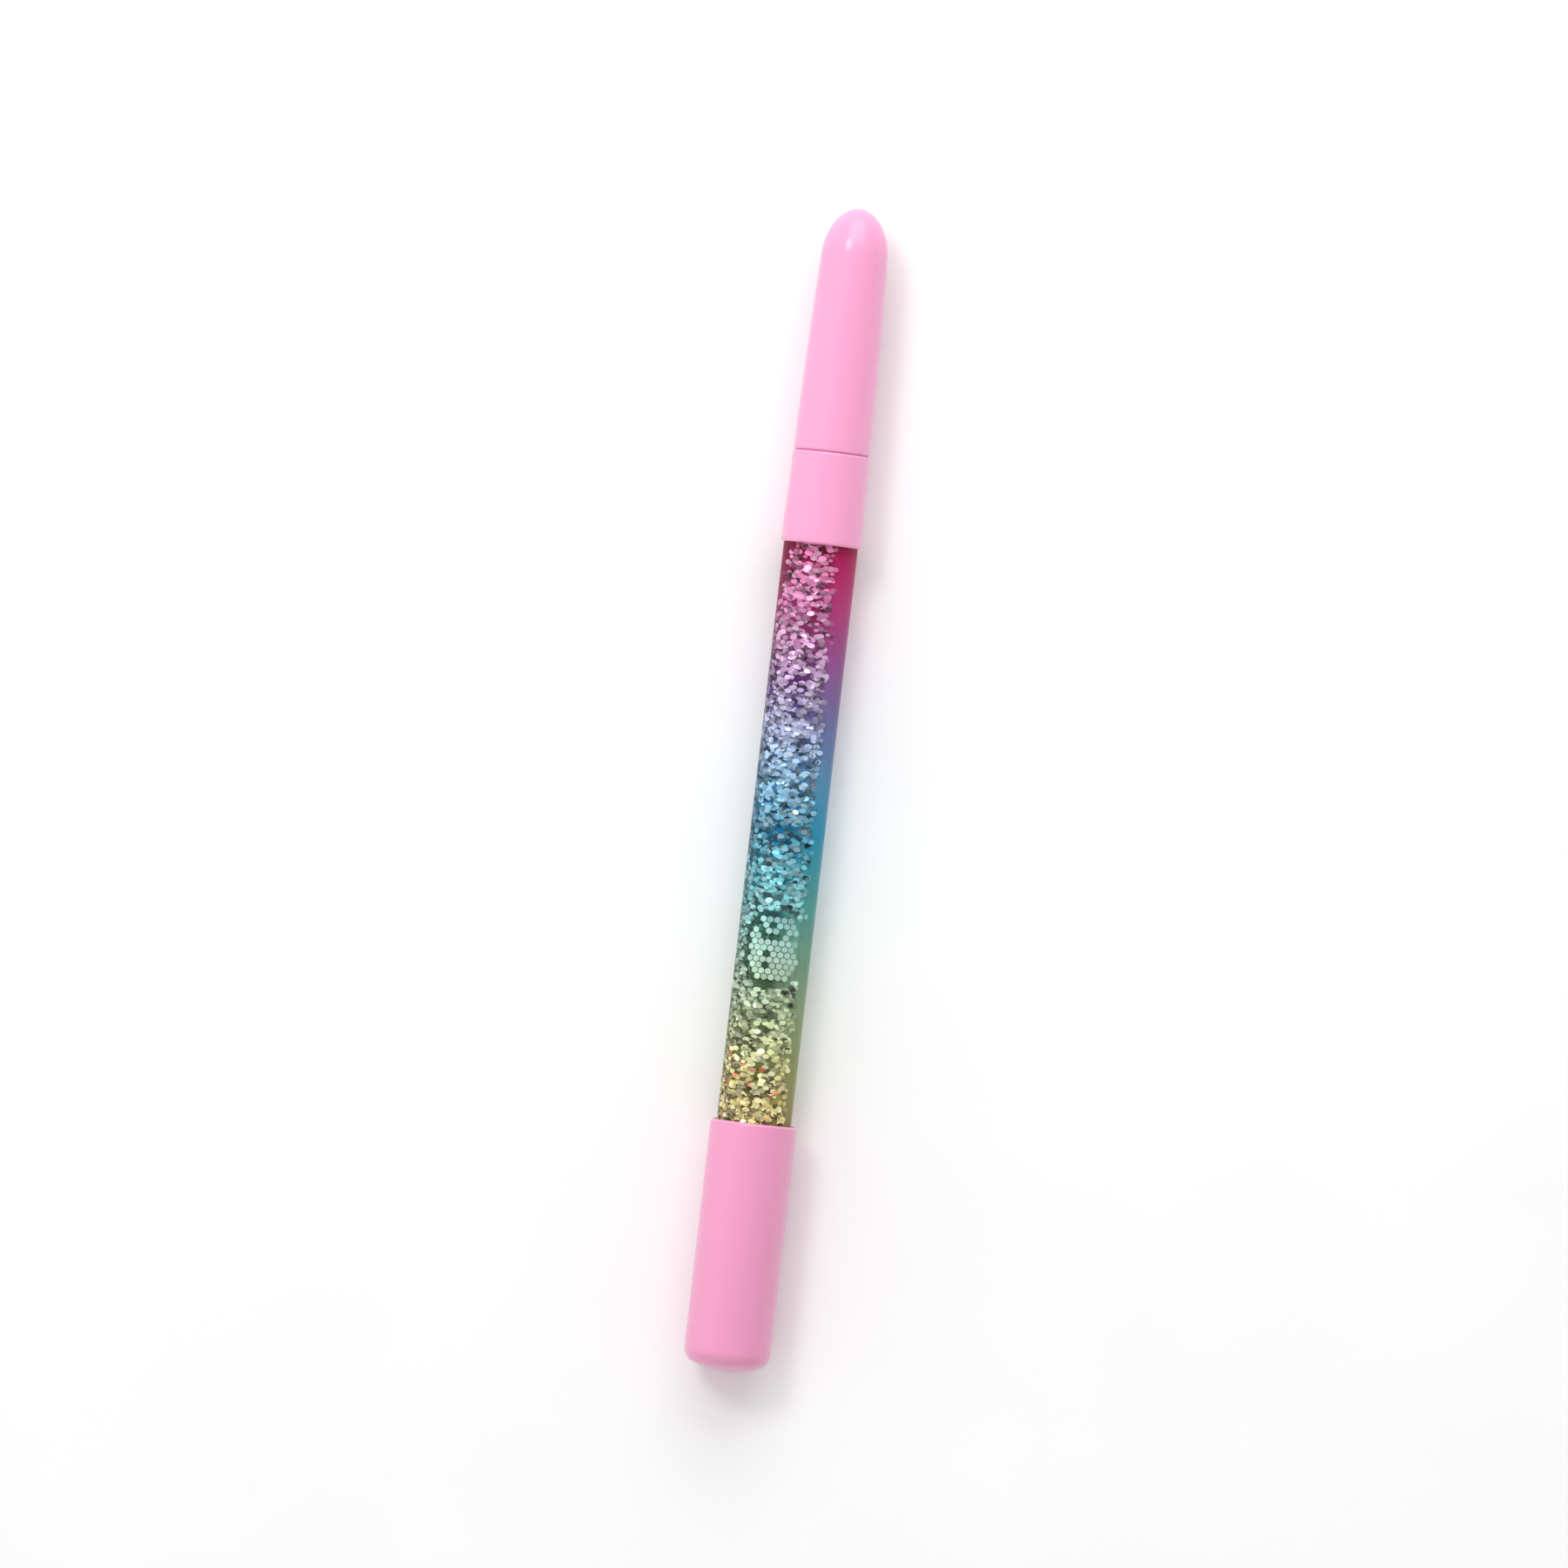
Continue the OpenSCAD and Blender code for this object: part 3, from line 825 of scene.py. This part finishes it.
def scatter_flakes(dice, silver, red):
    """Throws the loose flakes. Silver and red are each a mesh and its colour layer."""
    for _ in range(flake_tries):
        along = dice.uniform(cloud_start, cloud_end)
        angle = dice.uniform(0, 2 * math.pi)
        layer_radius = dice.choice(flake_layers)
        width = dice.choice(flake_widths)
        tip = dice.gauss(usual_tip, tip_spread)
        roll = dice.gauss(0, roll_spread)
        spin = dice.uniform(0, math.pi)
        # painted tone (painted reflection and shade) and painted glint (a painted highlight on a few
        # flakes)
        painted_tone = dice.choice(painted_flake_tones) * dice.uniform(0.85, 1.1)
        painted_glint = 0.9 * dice.random() ** 4
        if clear_edge(along) + dice.gauss(0, 0.05) < angle < CLEAR_END:
            continue
        if math.pi < angle < 2 * math.pi - left_edge(along) + dice.gauss(0, 0.04):
            continue
        if above_bubble(angle, along, reach=0.5, half_width=62):
            continue
        is_red = red_start < along < red_end and dice.random() < red_share
        mesh, layer = red if is_red else silver
        radius = rest_radius(layer_radius, width, tip, roll)
        add_flake(mesh, layer, radius, angle, along, width, tip, roll, spin, painted_tone,
                  painted_glint, flake_squash)


def lay_flat_flakes(dice, mesh, layer):
    """Lays the honeycomb of flat flakes over the bubble."""
    for row in range(int((bubble_end - bubble_start + 1) / flat_row)):
        along = bubble_start - 0.3 + row * flat_row
        for column in range(-5, 6):
            angle = (column + 0.5 * (row % 2)) * flat_pitch / flat_turn_radius
            kept = dice.random() < flat_share
            # painted tone of each flat flake; its painted glint is the last value passed below
            painted_tone = dice.uniform(0.8, 1.2)
            is_over = above_bubble(angle, along, reach=-0.7, half_width=48)
            if kept and is_over and angle < clear_edge(along):
                add_flake(mesh, layer, flat_radius, angle, along, flat_width, 0, 0,
                          math.radians(30), painted_tone, dice.uniform(0.0, 0.35))


def start_flakes():
    """An empty mesh and its layer for the flakes' painted tones and painted glints."""
    mesh = bmesh.new()
    return mesh, mesh.loops.layers.float_color.new("painted_tone_and_glint")


dice = random.Random(11)
silver_flakes, silver_layer = start_flakes()
red_flakes, red_layer = start_flakes()
scatter_flakes(dice, (silver_flakes, silver_layer), (red_flakes, red_layer))
lay_flat_flakes(dice, silver_flakes, silver_layer)
print("flakes cut:", len(silver_flakes.faces) // 8, "silver and", len(red_flakes.faces) // 8, "red")

# %% [markdown]
# ## The flakes' finish
#
# Metallised film is part mirror, part pale plastic. A fully metallic shader would go black
# wherever it mirrors something dark, so this one is part metal. The flake's painted tone is painted
# reflection where it brightens the tint and painted shade where it darkens it, and its painted
# glint fades it towards white as a painted highlight.

# %% Make the flakes' finish and hand the flakes over


def make_flake_finish(name, tint_of, metal):
    """Part metal, tinted, with each flake's own painted tone and painted glint."""
    finish, tree, shader = start_finish(name, Metallic=metal)
    # painted light: the stored tone scales the tint up as painted reflection and down as painted
    # shade, and the glint fades it towards white as a painted highlight
    stored = add_node(tree, "Attribute", attribute_name="painted_tone_and_glint").outputs["Color"]
    own = add_node(tree, "SeparateColor", {"Color": stored}).outputs
    tint = tint_of(tree)
    tint_with_painted_tone = blend_colours(tree, 1.0, tint, own["Red"], blend="MULTIPLY")
    pale = blend_colours(tree, 0.5, tint, (1, 1, 1, 1))
    painted_glint_colour = blend_colours(tree, own["Green"], tint_with_painted_tone, pale)
    tree.links.new(painted_glint_colour, shader.inputs["Base Color"])
    tree.links.new(spread(tree, noise(tree, 0.4), 0.12, 0.26), shader.inputs["Roughness"])
    bump(tree, noise(tree, 0.25), 0.004, shader)
    return finish


def light_rainbow(tree):
    """The tint of the flakes against the wall."""
    return rainbow(tree, deep=False)


def warm_red(tree):
    """The orange-red of the few odd flakes near the tail."""
    return blend_colours(tree, noise(tree, 2.0), paint(236, 120, 84), paint(250, 160, 120))


finish_piece(silver_flakes, "silver_glitter", "glitter",
             ["glitter_large", "glitter_fine"],
             [make_flake_finish("silver_flake", light_rainbow, 0.45)])
finish_piece(red_flakes, "red_glitter", "glitter", ["glitter_red"],
             [make_flake_finish("red_flake", warm_red, 0.5)])

# %% [markdown]
# ## What the cap hides
#
# Under the cap is a plain nose with the metal point, and inside it a short refill. These pieces
# show only when the pen is opened, yet they get honest finishes too.

# %% Finishes for the inner pieces


def make_moulded(name, colour, shade, roughness, **settings):
    """A plain moulded plastic or rubber, a little cloudy and a little rippled."""
    finish, tree, shader = start_finish(name, **settings)
    share = spread(tree, noise(tree, 1.2, 3.0), 0.0, 1.0)
    tree.links.new(blend_colours(tree, share, colour, shade), shader.inputs["Base Color"])
    rough = spread(tree, noise(tree, 0.3, 2.0), roughness - 0.06, roughness + 0.06)
    tree.links.new(rough, shader.inputs["Roughness"])
    bump(tree, noise(tree, 0.4, 2.0), 0.006, shader)
    return finish


def make_turned_metal(name, colour, shade, roughness):
    """Metal with the fine rings that a lathe's tool leaves."""
    finish, tree, shader = start_finish(name, Metallic=1.0)
    rings = noise(tree, 0.12, 2.0, (0.05, 1, 0.05))
    tree.links.new(blend_colours(tree, rings, colour, shade), shader.inputs["Base Color"])
    tree.links.new(spread(tree, rings, roughness - 0.05, roughness + 0.05), shader.inputs["Roughness"])
    bump(tree, rings, 0.003, shader)
    return finish


def dress(finish, *nodes):
    """Gives CAD nodes a finish in place of their plain one."""
    for node in nodes:
        piece = frame["nodes"][node]
        for holder in piece.material_slots:
            holder.material = finish
    print(finish.name, "dresses", ", ".join(nodes))


dress(make_moulded("soft_stopper", paint(232, 232, 226), paint(220, 220, 214), 0.5),
      "rear_stopper", "front_stopper")
dress(make_moulded("clear_resin", paint(240, 240, 234), paint(228, 230, 226), 0.15),
      "rear_resin", "front_resin")
dress(make_moulded("seal_rubber", paint(60, 60, 62), paint(48, 48, 50), 0.6), "cap_seal")
dress(make_moulded("milky_plastic", paint(226, 230, 232), paint(214, 220, 224), 0.3,
                   Transmission_Weight=0.35), "refill_reservoir")
dress(make_moulded("white_plastic", paint(240, 240, 238), paint(230, 230, 228), 0.35),
      "refill_vent_plug", "tip_holder")
dress(make_moulded("grease", paint(220, 206, 150), paint(206, 190, 130), 0.25), "follower_grease")
dress(make_turned_metal("point_metal", paint(206, 200, 190), paint(186, 180, 170), 0.28),
      "point_housing", "ball_spring")
dress(make_turned_metal("ball_metal", paint(190, 190, 194), paint(172, 172, 178), 0.15),
      "writing_ball")
dress(pink_plastic, "nose_cone")

# %% [markdown]
# ## The ink
#
# Gel ink fills the reservoir behind the point, and a plug of grease follows it forward as it is
# used. A simulated liquid would be far more than this needs: the ink is a plain black rod that
# rides on the refill.

# %% Fill the ink
ink_start, ink_end, ink_radius = extent("ink_column")


def make_ink():
    """A rod of ink, a hair thinner than the reservoir's bore."""
    inset = 0.02
    outline = [
        (0, ink_start),
        (ink_radius - inset, ink_start),
        (ink_radius - inset, ink_end),
        (0, ink_end),
    ]
    black_ink = make_moulded("black_ink", paint(20, 20, 24), paint(30, 30, 36), 0.2)
    return lathe("ink_fill", outline, "refill", ["ink_column"], [black_ink])


ink = make_ink()
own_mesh(ink)

# %% [markdown]
# ## Table, lights and camera
#
# The pen lies on a plain pale table under soft light: a soft lamp from the upper left, a low panel
# along the left, a panel beyond the cap that gives the dome its pale highlight, and a bright room
# all round. The camera looks straight down, turned a little so that the pen leans to the right.

# %% Set up the studio
LEAN = math.radians(6.63)
VIEW_WIDTH = 0.252
CAMERA_HEIGHT = 2.0
AIM_RIGHT = -1.36
AIM_UP = 1.01
TABLE_HALF = 3.0
RIGHT = Vector((math.cos(LEAN), math.sin(LEAN), 0))
UP = Vector((-math.sin(LEAN), math.cos(LEAN), 0))


def make_table():
    """A wide flat sheet, pale and matt, at the height that the pen lies on."""
    data = bpy.data.meshes.new("table")
    signs = ((-1, -1), (1, -1), (1, 1), (-1, 1))
    corners = [(TABLE_HALF * right, TABLE_HALF * ahead, 0) for right, ahead in signs]
    data.from_pydata(corners, [], [(0, 1, 2, 3)])
    table = bpy.data.objects.new("table", data)
    bpy.context.scene.collection.objects.link(table)
    finish, tree, shader = start_finish("pale_table", Roughness=0.9, Specular_IOR_Level=0.1)
    grain = spread(tree, noise(tree, 40.0), 0.0, 1.0)
    tree.links.new(blend_colours(tree, grain, (0.93, 0.93, 0.93, 1), (0.95, 0.95, 0.95, 1)),
                   shader.inputs["Base Color"])
    data.materials.append(finish)


def soft_lamp(name, at, width, height, watts):
    """A rectangular soft light that faces the pen."""
    lamp = bpy.data.lights.new(name, "AREA")
    lamp.shape = "RECTANGLE"
    lamp.size = width
    lamp.size_y = height
    lamp.energy = watts
    holder = bpy.data.objects.new(name, lamp)
    holder.location = at
    holder.rotation_euler = (-Vector(at)).to_track_quat("-Z", "Y").to_euler()
    bpy.context.scene.collection.objects.link(holder)


def set_room_light(left, right):
    """An even white room, a little brighter on the left of the pen than on its right."""
    room = bpy.data.worlds.new("room")
    room.use_nodes = True
    tree = room.node_tree
    background = tree.nodes["Background"]
    background.inputs["Color"].default_value = (1, 1, 1, 1)
    towards = add_node(tree, "TexCoord").outputs["Generated"]
    side = add_node(tree, "SeparateXYZ", {"Vector": towards}).outputs["X"]
    tree.links.new(spread(tree, side, left, right, -1.0, 1.0), background.inputs["Strength"])
    bpy.context.scene.world = room


def set_camera():
    """Looks straight down on the pen, from far enough that it hardly foreshortens."""
    middle = Vector((0, 0, AXIS_HEIGHT)) + RIGHT * AIM_RIGHT * MM + UP * AIM_UP * MM
    data = bpy.data.cameras.new("camera")
    data.sensor_width = 36.0
    data.lens = data.sensor_width * CAMERA_HEIGHT / VIEW_WIDTH
    data.clip_end = 20.0
    camera = bpy.data.objects.new("camera", data)
    turn = Matrix((RIGHT, UP, Vector((0, 0, 1)))).transposed().to_4x4()
    camera.matrix_world = Matrix.Translation(middle + Vector((0, 0, CAMERA_HEIGHT))) @ turn
    bpy.context.scene.collection.objects.link(camera)
    bpy.context.scene.camera = camera


make_table()
set_room_light(left=0.79, right=0.57)
soft_lamp("key", at=(-0.55, 0.6, 1.1), width=0.35, height=0.35, watts=4)
soft_lamp("cap_panel", at=(0.0, 0.65, 0.45), width=0.7, height=0.7, watts=3.4)
soft_lamp("left_panel", at=(-0.8, 0.0, 0.3), width=0.4, height=1.2, watts=0.6)
set_camera()
bpy.context.scene.view_settings.view_transform = "Standard"
print("the camera sees", VIEW_WIDTH * 1000, "mm across, from", CAMERA_HEIGHT, "m above")

# %% [markdown]
# ## The CAD box
#
# The engineering model's box, measured when the pen was loaded, is printed at the end.

# %% Write the sizes and finish
print("CAD box:", cad_box)
